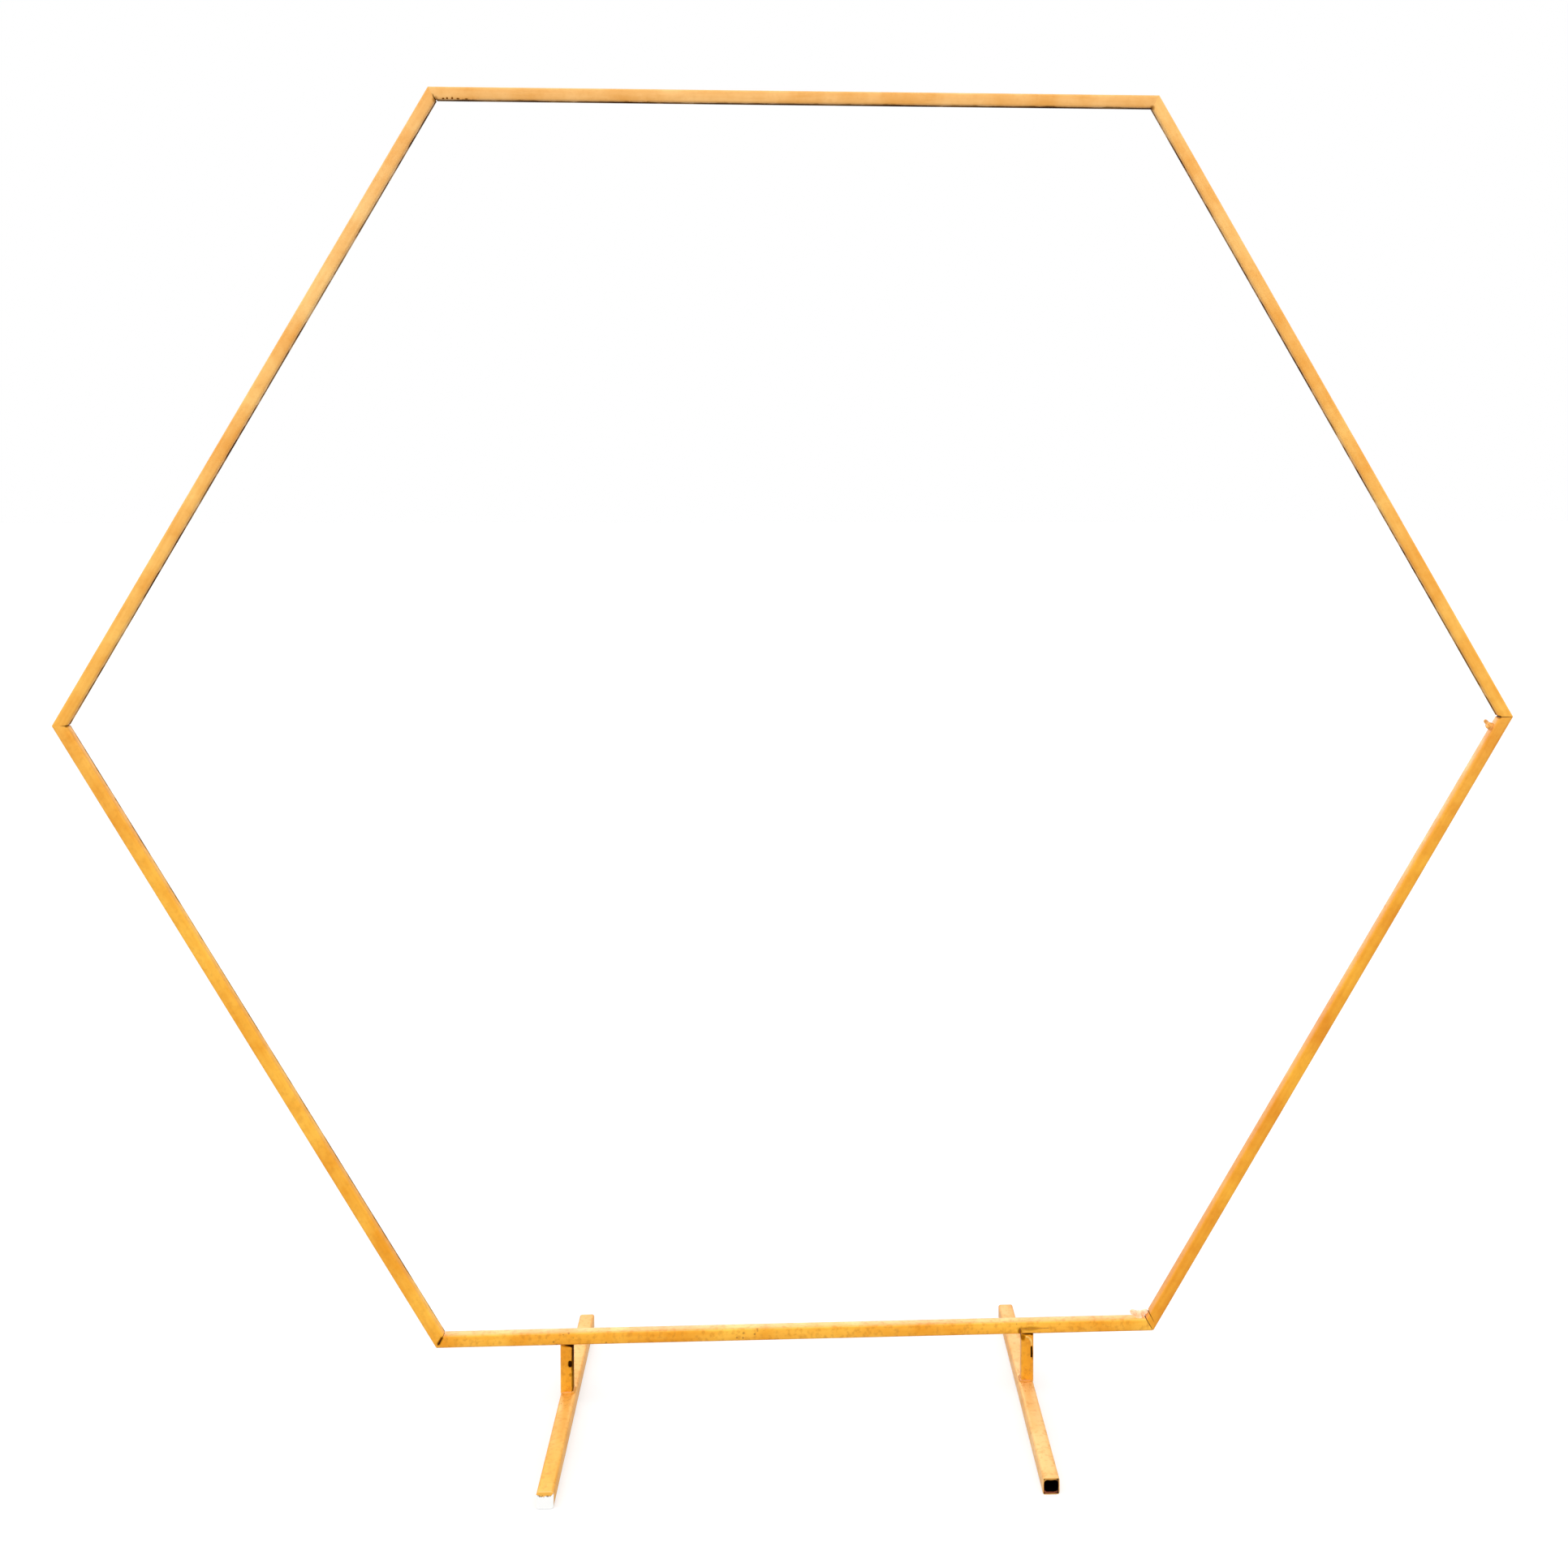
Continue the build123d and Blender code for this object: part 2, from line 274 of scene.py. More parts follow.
def gold_paint(
    name,
    place,
    turn,
    size,
    wall,
    first_pair,
    last_pair,
    fade,
    seed,
    speckle,
    dark_side,
    gloss=0.6,
    highlight_share=0.25,
    bore_hex="#7a4512",
    crown=0.28,
    coarse=0.0,
    marks=(),
):
    """Gold lacquer sprayed from a can over mild steel tube.

    It gives the eye a warm satin metal that clouds where the coats differ, with faint streaks
    along the tube, small dark pits of dirt in the lacquer, brown marks beside the joints, some
    of them burns and some painted shade, a painted highlight on the faces that look up and to
    the left, and a sparse dark brown coat with painted shade on the side turned away from the
    spray and the light. The pairs of colours, bright and deep, fade from the first to the last
    between the two points of fade.
    """
    material, tree = new_material(name)
    half_size = size / 2
    coords = add_node(tree, "TexCoord").outputs["Object"]
    facing = add_node(tree, "NewGeometry").outputs["Normal"]
    # Tube coordinates: X along the tube, Y and Z across it, from the middle of its bore
    local = add_node(
        tree, "Mapping", {"Vector": coords, "Location": place, "Rotation": turn}, vector_type="TEXTURE"
    )
    across = add_node(tree, "SeparateXYZ", (local,)).outputs
    # The seed moves the patterns, so that no two tubes are alike
    shift = (seed * 3.1, seed * 1.7, seed * 2.3)
    shifted = add_node(tree, "VectorMath", (local, shift), operation="ADD")
    # Coats overlap in clouds of 110 mm with 25 mm ones on them
    broad = add_node(
        tree, "TexNoise", {"Vector": shifted, "Scale": 1 / (110 * MM), "Detail": 1.0, "Roughness": 0.5}
    )
    fine = add_node(
        tree, "TexNoise", {"Vector": shifted, "Scale": 1 / (25 * MM), "Detail": 3.0, "Roughness": 0.55}
    )
    clouds = (broad, fine)

    paint = sprayed_coats(tree, coords, shifted, clouds, first_pair, last_pair, fade)
    burns_and_shade = burn_and_shade_marks(tree, coords, fine, marks)
    thin_and_shade = thin_and_shaded_side(tree, across, clouds, half_size, dark_side)
    bore = unpainted_bore(tree, across, half_size, wall)
    # Layers over the coats: painted highlight, first coat, dirt, burns with painted shade, sparse coat with
    # painted shade, and the bore
    for share, hex_code in (
        (painted_highlight(tree, facing, highlight_share), PAINTED_HIGHLIGHT_TONE),
        (bare_patches(tree, shifted, speckle), FIRST_COAT),
        (pits_and_dirt(tree, shifted, speckle), DIRT),
        (burns_and_shade, BURN_AND_SHADE),
        (thin_and_shade, THIN_COAT_AND_SHADE),
        (bore, bore_hex),
    ):
        paint = add_node(
            tree, "Mix", {"Factor": share, "A": paint, "B": colour(hex_code)}, data_type="RGBA"
        )

    # Paint is satin, and the sparse coat, the scorches, the painted shade and the unpainted bore are dull
    dull = add_node(tree, "Math", (thin_and_shade, bore), operation="MAXIMUM")
    dull = add_node(tree, "Math", (dull, burns_and_shade), operation="MAXIMUM")
    shine = add_node(tree, "MapRange", (dull, 0.0, 0.6, gloss, 0.02))
    satin = add_node(tree, "MapRange", (fine, 0.3, 0.7, 0.42, 0.56))
    rough = add_node(tree, "Mix", {"Factor": dull, "A": satin, "B": 0.9}, data_type="FLOAT")
    relief = paint_relief(tree, local, shifted, facing, turn, half_size, crown, coarse)
    shader = add_node(
        tree,
        "BsdfPrincipled",
        {
            "Base Color": paint,
            "Metallic": 0.2,
            "Roughness": rough,
            "Specular IOR Level": shine,
            "Normal": relief,
        },
    )
    add_node(tree, "OutputMaterial", {"Surface": shader})
    return material


def steel_with_gap_shade(name):
    """Mild steel tube as cut, with a trace of rust.

    It gives the eye a dull metal that is nearly black in a gap, partly its own dark steel and
    partly painted shade of the gap, with brown stains of 8 mm.
    """
    material, tree = new_material(name)
    coords = add_node(tree, "TexCoord").outputs["Object"]
    stain = add_node(
        tree, "TexNoise", {"Vector": coords, "Scale": 1 / (8 * MM), "Detail": 5.0, "Roughness": 0.7}
    )
    tone = add_node(
        tree, "Mix", {"Factor": stain, "A": colour("#2a1608"), "B": colour("#57300f")}, data_type="RGBA"
    )
    relief = add_node(tree, "Bump", {"Height": stain, "Strength": 0.4, "Distance": 0.5 * MM})
    rough = add_node(tree, "MapRange", (stain, 0.3, 0.7, 0.45, 0.75))
    shader = add_node(
        tree, "BsdfPrincipled", {"Base Color": tone, "Metallic": 0.6, "Roughness": rough, "Normal": relief}
    )
    add_node(tree, "OutputMaterial", {"Surface": shader})
    return material


def sprayed_casting(name, hollow, pale, grain):
    """Zinc casting or weld metal under the arch's own spray, rough from the mould or the arc.

    It gives the eye a satin skin in grains of the size of grain, pale where they stand out and
    darker in the hollows between them.
    """
    material, tree = new_material(name)
    coords = add_node(tree, "TexCoord").outputs["Object"]
    skin = add_node(
        tree, "TexNoise", {"Vector": coords, "Scale": 1 / grain, "Detail": 4.0, "Roughness": 0.65}
    )
    share = add_node(tree, "MapRange", (skin, 0.35, 0.65))
    tone = add_node(
        tree, "Mix", {"Factor": share, "A": colour(hollow), "B": colour(pale)}, data_type="RGBA"
    )
    relief = add_node(tree, "Bump", {"Height": skin, "Strength": 0.3, "Distance": 0.4 * MM})
    rough = add_node(tree, "MapRange", (skin, 0.3, 0.7, 0.4, 0.6))
    shader = add_node(
        tree, "BsdfPrincipled", {"Base Color": tone, "Metallic": 0.15, "Roughness": rough, "Normal": relief}
    )
    add_node(tree, "OutputMaterial", {"Surface": shader})
    return material


def oversprayed_plug(name, edge, middle, half_width):
    """White polyethylene tube plug, moulded, with the arch's own spray along its top edge.

    It gives the eye a plain waxy white face under a ragged band of gold, with dark specks
    where the paint ends, at the height of edge and 3 mm higher at the sides.
    """
    material, tree = new_material(name)
    coords = add_node(tree, "TexCoord").outputs["Object"]
    # The paint ends in waves of 4 mm, and the dark specks along it are drawn 3 mm across,
    # coarser than they are, so that they show
    waves = add_node(tree, "TexNoise", {"Vector": coords, "Scale": 1 / (4 * MM), "Detail": 2.0})
    wobble = add_node(tree, "MapRange", (waves, 0.3, 0.7, -1 * MM, 1 * MM))
    place = add_node(tree, "SeparateXYZ", (coords,)).outputs
    height = add_node(tree, "Math", (place["Z"], wobble), operation="ADD")
    sideways = add_node(tree, "Math", (place["X"], middle), operation="SUBTRACT")
    sideways = add_node(tree, "Math", (sideways,), operation="ABSOLUTE")
    rounding = add_node(tree, "MapRange", (sideways, 0.6 * half_width, half_width, 0.0, 3 * MM))
    height = add_node(tree, "Math", (height, rounding), operation="SUBTRACT")
    sprayed = add_node(tree, "MapRange", (height, edge - 0.4 * MM, edge + 0.4 * MM))
    tone = add_node(
        tree, "Mix", {"Factor": sprayed, "A": colour("#fefefc"), "B": colour("#f2b148")}, data_type="RGBA"
    )
    from_edge = add_node(tree, "Math", (height, edge), operation="SUBTRACT")
    from_edge = add_node(tree, "Math", (from_edge,), operation="ABSOLUTE")
    beside = add_node(tree, "MapRange", (from_edge, 0.6 * MM, 1.8 * MM, 0.85, 0.0))
    dirt = add_node(tree, "TexNoise", {"Vector": coords, "Scale": 1 / (3 * MM), "Detail": 1.0})
    specks = add_node(tree, "MapRange", (dirt, 0.5, 0.6))
    specks = add_node(tree, "Math", (specks, beside), operation="MULTIPLY")
    tone = add_node(tree, "Mix", {"Factor": specks, "A": tone, "B": colour("#6b4a12")}, data_type="RGBA")
    relief = add_node(tree, "Bump", {"Height": waves, "Strength": 0.1, "Distance": 0.3 * MM})
    shader = add_node(tree, "BsdfPrincipled", {"Base Color": tone, "Roughness": 0.45, "Normal": relief})
    add_node(tree, "OutputMaterial", {"Surface": shader})
    return material


def rusty_cut_edge(name, middle):
    """Mild steel where a saw left a burr, with a little spray on its top and rust under it.

    It gives the eye a lip that is dull gold above the middle of the bore, red-brown below it
    and nearly black to the right, where the spray never reached.
    """
    material, tree = new_material(name)
    coords = add_node(tree, "TexCoord").outputs["Object"]
    # Rust in grains of 2 mm
    grains = add_node(tree, "TexNoise", {"Vector": coords, "Scale": 1 / (2 * MM), "Detail": 3.0})
    wobble = add_node(tree, "MapRange", (grains, 0.3, 0.7, -2 * MM, 2 * MM))
    place = add_node(tree, "VectorMath", (coords, middle), operation="SUBTRACT")
    place = add_node(tree, "SeparateXYZ", (place,)).outputs
    height = add_node(tree, "Math", (place["Z"], wobble), operation="ADD")
    sprayed = add_node(tree, "MapRange", (height, 3 * MM, 8 * MM))
    tone = add_node(
        tree, "Mix", {"Factor": sprayed, "A": colour("#8a4628"), "B": colour("#cf9440")}, data_type="RGBA"
    )
    sideways = add_node(tree, "Math", (place["X"], wobble), operation="ADD")
    dark_side = add_node(tree, "MapRange", (sideways, 6 * MM, 9 * MM, 0.0, 0.9))
    tone = add_node(tree, "Mix", {"Factor": dark_side, "A": tone, "B": colour("#32100a")}, data_type="RGBA")
    relief = add_node(tree, "Bump", {"Height": grains, "Strength": 0.4, "Distance": 0.4 * MM})
    shader = add_node(
        tree,
        "BsdfPrincipled",
        {"Base Color": tone, "Metallic": 0.3, "Roughness": 0.75, "Normal": relief},
    )
    add_node(tree, "OutputMaterial", {"Surface": shader})
    return material


def set_material(node_name, material):
    """Gives a CAD node its finish through its object's material slots."""
    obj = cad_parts[node_name]
    if not obj.material_slots:
        obj.data.materials.append(None)
    for slot in obj.material_slots:
        slot.link = "OBJECT"
        slot.material = material


# Colours of the sprayed coats, bright and deep. They grow paler towards the frame's top

LOWER = ("#ffc142", "#ec9a10")
LOWER_RIGHT = ("#f7b32e", "#e18d0c")
TOP = ("#f9c47a", "#e8a44c")
UPPER_LEFT = ("#ffd086", "#f2ae58")
UPPER_RIGHT = ("#ffca78", "#f0a644")
RISER = ("#f6ad26", "#e5940f")
WELD = ("#eda52e", "#c9811c")
# Each foot's colours at its front end and at its back end
FEET = {
    "left": (("#f8b840", "#eca630"), ("#f6b866", "#edac56")),
    "right": (("#f8c57c", "#f0b96a"), ("#f6b76a", "#edab5a")),
}
frame_fade = ((0, 0, 0.85), (0, 0, 1.95))
foot_fade = ((0, left_foot_low.y, 0), (0, left_foot_high.y, 0))

# Marks beside the joints


def mark(joint, across, up, half_width, half_height, strength):
    """Dark mark through the whole tube, this many mm across and up from a joint: some are burns, some dark
    joints and some painted shade.
    """
    place = joint + Vector((across, 0, up)) * MM
    return place, (half_width * MM, tube, half_height * MM), strength


right_joint = Vector((right_riser_low.x, right_riser_low.y, under_bar))
left_joint = Vector((left_riser_high.x, left_riser_low.y, under_bar))
# Marks along the saw cut in the bottom bar. The one along the bar's lower edge over the right riser is
# painted shade in the joint
saw_cut_marks = [
    mark(right_joint, 14, 9, 24, 5, 0.5),
    mark(right_joint, -2.5, 5, 4.5, 7, 0.85),
    mark(right_joint, 10, 0, 13, 2.6, 0.85),
]
# Marks on the risers. Those just under the bottom bar are painted shade, and so are the right riser's at
# its upper left and down its right edge. The left riser's lower two darken a hole and the spatter under it
riser_marks = {
    "left": [
        mark(left_joint, -4.5, -30.5, 5.5, 9, 0.8),
        mark(left_joint, -3, -48, 5, 4, 0.5),
        mark(left_joint, -8, -1, 12, 2.5, 0.8),
    ],
    "right": [
        mark(right_joint, 3, -5, 5.5, 7, 0.8),
        mark(right_joint, 10, 0, 13, 2.6, 0.85),
        mark(right_joint, 17, -1, 4, 2.2, 1.0),
        mark(right_joint, 18, -32, 2.5, 16, 0.7),
    ],
}
corner_marks = [
    mark(corner(place, tube) + Vector(FRONT) * tube / 2, 0, 0, half_size, half_size, 0.6)
    for place, half_size in (((-1, 1), 6), ((1, 1), 5), ((1, 0), 4), ((-1, 0), 3))
]
corner_marks.append(mark(corner((1, 0), tube / 2), 0, 0, 14, 1.1, 0.8))
corner_marks.append(mark(corner((-1, 1), tube - 5 * MM), 0, 0, 1.8, 4.5, 0.8))
# Painted shade that widens the dark gap of the open mitre at the lower left corner
open_mitre_marks = [
    (corner((-1, -1), inset * MM), (3.8 * MM, 3 * tube, 3.8 * MM), 1.0) for inset in (8, 10, 12, 14, 16)
]
# Nibs of brown painted shade and sparse coat that creep up the lower front edge of the top bar from its
# dark
# underside, in mm: (in from the bar's left end, up, half width)
top_edge = Vector((-half_level, top_low.y, top_low.z))
nib_marks = [
    (top_edge + Vector((inset, 0, rise)) * MM, (nib_width * MM, 3 * MM, 2 * MM), 1.0)
    for inset, rise, nib_width in ((24, 1.0, 2.5), (30, 1.6, 2), (38, 2.0, 1.8), (47, 0.8, 3), (60, 0.6, 4))
]

# Paint of the bars: colours at the bottom and at the top, speckle, dark side of sparse coat and painted
# shade, and marks
BAR_FINISH = {
    "top_bar": (TOP, TOP, 0.04, (-1, 0.7 * MM, -6.5 * MM), corner_marks + nib_marks),
    "upper_left_bar": (LOWER, UPPER_LEFT, 0.04, (-1, 0.4 * MM, -1 * MM), corner_marks),
    "upper_right_bar": (LOWER, UPPER_RIGHT, 0.04, (-1, 0.4 * MM, -1 * MM), corner_marks),
    "lower_left_bar": (LOWER, UPPER_LEFT, 0.08, (1, 0.4 * MM, 5.5 * MM), corner_marks + open_mitre_marks),
    "lower_right_bar": (LOWER_RIGHT, UPPER_RIGHT, 0.06, (-1, 0.4 * MM, 0), corner_marks),
    "bottom_bar": (LOWER, TOP, 0.2, (-1, 0.4 * MM, 0), saw_cut_marks + open_mitre_marks),
    "lower_right_collar": (LOWER_RIGHT, TOP, 0.06, (-1, 0.4 * MM, 0), ()),
}
for seed, (name, (low_pair, high_pair, speckle, dark_side, marks)) in enumerate(BAR_FINISH.items()):
    start, end = [corner(place, tube / 2) for place in BARS[name]]
    along = end - start
    turn = (0, atan2(-along.z, along.x), 0)
    bar_paint = gold_paint(
        name + "_gold_paint",
        place=(start + end) / 2,
        turn=turn,
        size=tube,
        wall=tube_wall,
        first_pair=low_pair,
        last_pair=high_pair,
        fade=frame_fade,
        seed=seed,
        speckle=speckle,
        dark_side=dark_side,
        marks=marks,
    )
    set_material(name, bar_paint)

# The left riser has a dark coat with painted shade all down its right side, and the right one has it
# nowhere.
# The feet have the sparse dark coat only at the face that they lie on
unwrapped = -1.0
RISER_DARK_SIDE = {"left": (1, 2 * MM, unwrapped), "right": (1, -tube, unwrapped)}
underside = (-1, 0, unwrapped)
first_riser_seed = 11
first_foot_seed = 21
for count, (side, (riser_low, riser_high, foot_low, foot_high)) in enumerate(STAND.items()):
    riser_paint = gold_paint(
        side + "_riser_gold_paint",
        place=(riser_low + riser_high) / 2,
        turn=(0, radians(90), 0),
        size=tube,
        wall=tube_wall,
        first_pair=RISER,
        last_pair=RISER,
        fade=frame_fade,
        seed=first_riser_seed + count,
        speckle=0.2,
        dark_side=RISER_DARK_SIDE[side],
        marks=riser_marks[side],
    )
    set_material(side + "_riser", riser_paint)
    front_pair, back_pair = FEET[side]
    foot_paint = gold_paint(
        side + "_foot_gold_paint",
        place=(foot_low + foot_high) / 2,
        turn=(0, 0, radians(90)),
        size=foot_tube,
        wall=foot_wall,
        first_pair=front_pair,
        last_pair=back_pair,
        fade=foot_fade,
        seed=first_foot_seed + count,
        speckle=0.16,
        dark_side=underside,
        gloss=0.3,
        highlight_share=0.0,
        # Near black inside the feet: painted shade of the deep bore behind their open ends
        bore_hex="#0d0907",
    )
    set_material(side + "_foot", foot_paint)

# The elbows show only in the open joints, where their near-black tone is partly painted shade
steel = steel_with_gap_shade("steel_tube_with_painted_shade")
for name in ("lower_left_elbow", "lower_right_elbow", "right_elbow"):
    set_material(name, steel)
pale_casting = sprayed_casting("thinly_sprayed_casting", "#f0bd88", "#fdeccb", 12 * MM)
set_material("lower_right_wing_screw", pale_casting)
set_material("right_wing_screw", sprayed_casting("sprayed_casting", "#d08a34", "#f8b860", 8 * MM))
plug_edge = left_foot_high.z - 6 * MM
plug_middle = (left_foot_low.x + left_foot_high.x) / 2
plug_finish = oversprayed_plug("oversprayed_plastic_plug", plug_edge, plug_middle, foot_tube / 2)
set_material("left_foot_plug", plug_finish)

# Surfaces


def surface_piece(name, points, material, joined=False):
    """Turns rings of points, shaped (skins, rings, points, 3), into closed skins in one mesh.

    A skin's first and last ring have flat end caps, or meet where joined is set.
    """
    index = np.arange(points.size // 3).reshape(points.shape[:-1])
    wrapped = np.concatenate([index, index[:, :, :1]], axis=2)
    caps = []
    if joined:
        wrapped = np.concatenate([wrapped, wrapped[:, :1]], axis=1)
    else:
        caps = index[:, 0, ::-1].tolist() + index[:, -1].tolist()
    quads = [wrapped[:, :-1, :-1], wrapped[:, :-1, 1:], wrapped[:, 1:, 1:], wrapped[:, 1:, :-1]]
    faces = np.stack(quads, axis=-1).reshape(-1, 4)
    mesh = bpy.data.meshes.new(name)
    mesh.from_pydata(points.reshape(-1, 3).tolist(), [], faces.tolist() + caps)
    mesh.polygons.foreach_set("use_smooth", np.ones(len(mesh.polygons), dtype=bool))
    mesh.materials.append(material)
    piece = bpy.data.objects.new(name, mesh)
    bpy.context.scene.collection.objects.link(piece)
    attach(piece, "root")
    return piece


def along_line(points):
    """Distance along a line from its first point to each of its points."""
    steps = np.linalg.norm(np.diff(points, axis=0), axis=1)
    return np.concatenate([[0], np.cumsum(steps)])


def unit(vectors):
    """Each vector with its length made 1."""
    return vectors / np.linalg.norm(vectors, axis=1, keepdims=True)


def ripple(distance, pitch, seed):
    """Height of a hand-laid bead: 1 + 0.12 |sin(pi s / pitch + w)| + 0.06 sin(2 pi s / (3.7 pitch) + seed).

    w = 0.8 sin(2 pi s / (5.3 pitch) + seed) makes the ripples uneven.
    """
    wander = 0.8 * np.sin(2 * pi * distance / (5.3 * pitch) + seed)
    scales = 0.12 * np.abs(np.sin(pi * distance / pitch + wander))
    return 1 + scales + 0.06 * np.sin(2 * pi * distance / (3.7 * pitch) + seed)


def weld_bead(name, path, outwards, half_width, height, pitch, seed, material):
    """Rippled bead along a path on a surface that faces outwards, one way or one at each point.

    P(s, v) = path(s) + r(s) (half_width cos v side(s) + height h(v) outwards(s)), where
    h(v) = sin v above the surface and 0.25 sin v below it, and r(s) is the ripple, drawn in at
    both ends as sqrt(1 - (2 s / length - 1)^8), but never to less than sqrt(0.02).
    """
    outwards = np.broadcast_to(outwards, path.shape)
    side = unit(np.cross(outwards, unit(np.gradient(path, axis=0))))
    distance = along_line(path)
    ends = np.sqrt(np.clip(1 - (2 * distance / distance[-1] - 1) ** 8, 0.02, 1))
    size = (ripple(distance, pitch, seed) * ends)[:, None, None]
    angle = np.linspace(0, 2 * pi, 16, endpoint=False)
    lift = np.where(np.sin(angle) > 0, np.sin(angle), 0.25 * np.sin(angle))
    ring = half_width * np.cos(angle)[None, :, None] * side[:, None]
    ring = ring + height * lift[None, :, None] * outwards[:, None]
    return surface_piece(name, (path[:, None] + size * ring)[None], material)


def straight_path(start, end, step):
    """Points from start to end, about a step apart."""
    count = max(8, round((Vector(end) - Vector(start)).length / step))
    return np.linspace(np.array(start), np.array(end), count)


def rounded_square(turns, half_across, half_along, power):
    """The two coordinates of the outline |x / half_across|^power + |y / half_along|^power = 1."""
    x, y = [np.sign(wave) * np.abs(wave) ** (2 / power) for wave in (np.cos(turns), np.sin(turns))]
    return half_across * x, half_along * y


def drops(name, centres, outwards, radii, material):
    """Small flattened drops on surfaces that face outwards, one way at each drop.

    P(a, b) = C + r (cos a cos b e1 + cos a sin b e2 + 0.8 sin a outwards), where e1 and e2 span the
    surface. a runs from -0.25, a fifth of r under the surface, to 0.15 short of the top.
    """
    helper = np.where(np.abs(outwards[:, :1]) > 0.9, [[0.0, 1.0, 0.0]], [[1.0, 0.0, 0.0]])
    first = unit(np.cross(outwards, helper))
    second = np.cross(outwards, first)
    rise = np.linspace(-0.25, pi / 2 - 0.15, 5)
    around = np.linspace(0, 2 * pi, 10, endpoint=False)
    flat = np.cos(rise)[:, None, None] * np.stack([np.cos(around), np.sin(around)], axis=-1)
    grid = (
        flat[None, :, :, :1] * first[:, None, None]
        + flat[None, :, :, 1:] * second[:, None, None]
        + 0.8 * np.sin(rise)[None, :, None, None] * outwards[:, None, None]
    )
    return surface_piece(name, centres[:, None, None] + radii[:, None, None, None] * grid, material)


# Weld beads round the riser bases, on three sides, under a browner coat than the tubes have


def riser_base(riser_low, riser_high, foot_high, open_side):
    """Line round three sides of a riser's base, and the way out from the corner at each point.

    The base's outline is |x|^8 + |y|^8 = a^8, and the line leaves out the side that open_side,
    a sign on X, names. The way out is half away from the riser and half up from the foot. The
    points are even along the line, found between closer ones.
    """
    half_sweep = radians(128)
    middle = np.array([(riser_low.x + riser_high.x) / 2, (riser_low.y + riser_high.y) / 2, foot_high.z])
    turns = np.linspace(-half_sweep, half_sweep, 600) + (0 if open_side < 0 else pi)
    flat_x, flat_y = rounded_square(turns, tube / 2, tube / 2, 8)
    outline = middle + np.stack([flat_x, flat_y, np.zeros_like(turns)], axis=-1)
    gone = along_line(outline)
    even = np.linspace(0, gone[-1], 240)
    path = np.stack([np.interp(even, gone, outline[:, axis]) for axis in range(3)], axis=-1)
    away = (path - middle) / (tube / 2)
    return path, unit(unit(np.sign(away) * np.abs(away) ** 7) + np.array(UP))


weld_radius = 2.8 * MM
middle_weld_seed = 31
below_floor = (0, 0, -1)
weld_paints = {}
for side, open_side in (("left", -1), ("right", 1)):
    riser_low, riser_high, _, foot_high = STAND[side]
    # A weld has no bore and no dark side, so the tube of its paint lies out of reach below it
    weld_paints[side] = gold_paint(
        side + "_weld_gold_paint",
        place=below_floor,
        turn=(0, 0, 0),
        size=tube,
        wall=tube_wall,
        first_pair=WELD,
        last_pair=TOP,
        fade=frame_fade,
        seed=middle_weld_seed + open_side,
        speckle=0.4,
        dark_side=underside,
        crown=0.0,
        coarse=0.25,
    )
    path, outwards = riser_base(riser_low, riser_high, foot_high, open_side)
    bead = weld_bead(
        side + "_riser_rippled_weld",
        path,
        outwards,
        half_width=weld_radius,
        height=weld_radius,
        pitch=1.9 * MM,
        seed=open_side,
        material=weld_paints[side],
    )
    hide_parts(side + "_riser_weld")

# Distance between the points of a straight bead
fine_step = 0.25 * MM
long_step = 0.4 * MM

# Tacks that hold the bottom bar to the risers' tops, at the back
for side, (riser_low, riser_high, *_) in STAND.items():
    tack_start = (riser_low.x + 3 * MM, riser_high.y, under_bar)
    tack_end = (riser_high.x - 4 * MM, riser_high.y, under_bar)
    weld_bead(
        side + "_riser_top_tack",
        straight_path(tack_start, tack_end, fine_step),
        BACK,
        half_width=2.6 * MM,
        height=1.4 * MM,
        pitch=2.1 * MM,
        seed=2.0,
        material=weld_paints[side],
    )

# Run of weld down the front of the right riser, from under the saw cut to its right side. Its
# path bends from the first of three corners past the second to the last:
# P(s) = (1 - s)^2 A + 2 s (1 - s) B + s^2 C, where s is curve
run_corners = [
    np.array((right_riser_low.x + across * MM, right_riser_low.y, under_bar - down * MM))
    for across, down in ((7, 4.5), (17, 5), (16.5, 19))
]
curve = np.linspace(0, 1, 90)[:, None]
run_path = (1 - curve) ** 2 * run_corners[0] + 2 * curve * (1 - curve) * run_corners[1]
run_path = run_path + curve**2 * run_corners[2]
run_paint = sprayed_casting("sprayed_weld_run", "#d99a30", "#ffd070", 6 * MM)
weld_bead(
    "right_riser_weld_run",
    run_path,
    FRONT,
    half_width=1.6 * MM,
    height=1.1 * MM,
    pitch=2.4 * MM,
    seed=0.5,
    material=run_paint,
)

# Stained weld that half fills the saw cuts in the bottom bar. The level one starts 2 mm to the
# left of the right riser, 9 mm up the bar, and the upright one is under its start
cut_x = right_riser_low.x - 2 * MM
cut_end_x = right_riser_high.x + 24 * MM
cut_z = under_bar + 9 * MM
fill_y = bottom_low.y + 0.9 * MM
fill_foot_z = under_bar + 0.4 * MM
weld_bead(
    "level_cut_fill",
    straight_path((cut_x, fill_y, cut_z), (cut_end_x, fill_y, cut_z), long_step),
    FRONT,
    half_width=0.9 * MM,
    height=0.6 * MM,
    pitch=3.1 * MM,
    seed=1.0,
    material=sprayed_casting("stained_weld_fill", "#9c5c0c", "#c8881c", 6 * MM),
)
weld_bead(
    "upright_cut_fill",
    straight_path((cut_x, fill_y, fill_foot_z), (cut_x, fill_y, cut_z), fine_step),
    FRONT,
    half_width=1.2 * MM,
    height=0.5 * MM,
    pitch=2.3 * MM,
    seed=2.0,
    material=sprayed_casting("dark_weld_fill", "#6e380c", "#9c5a14", 4 * MM),
)

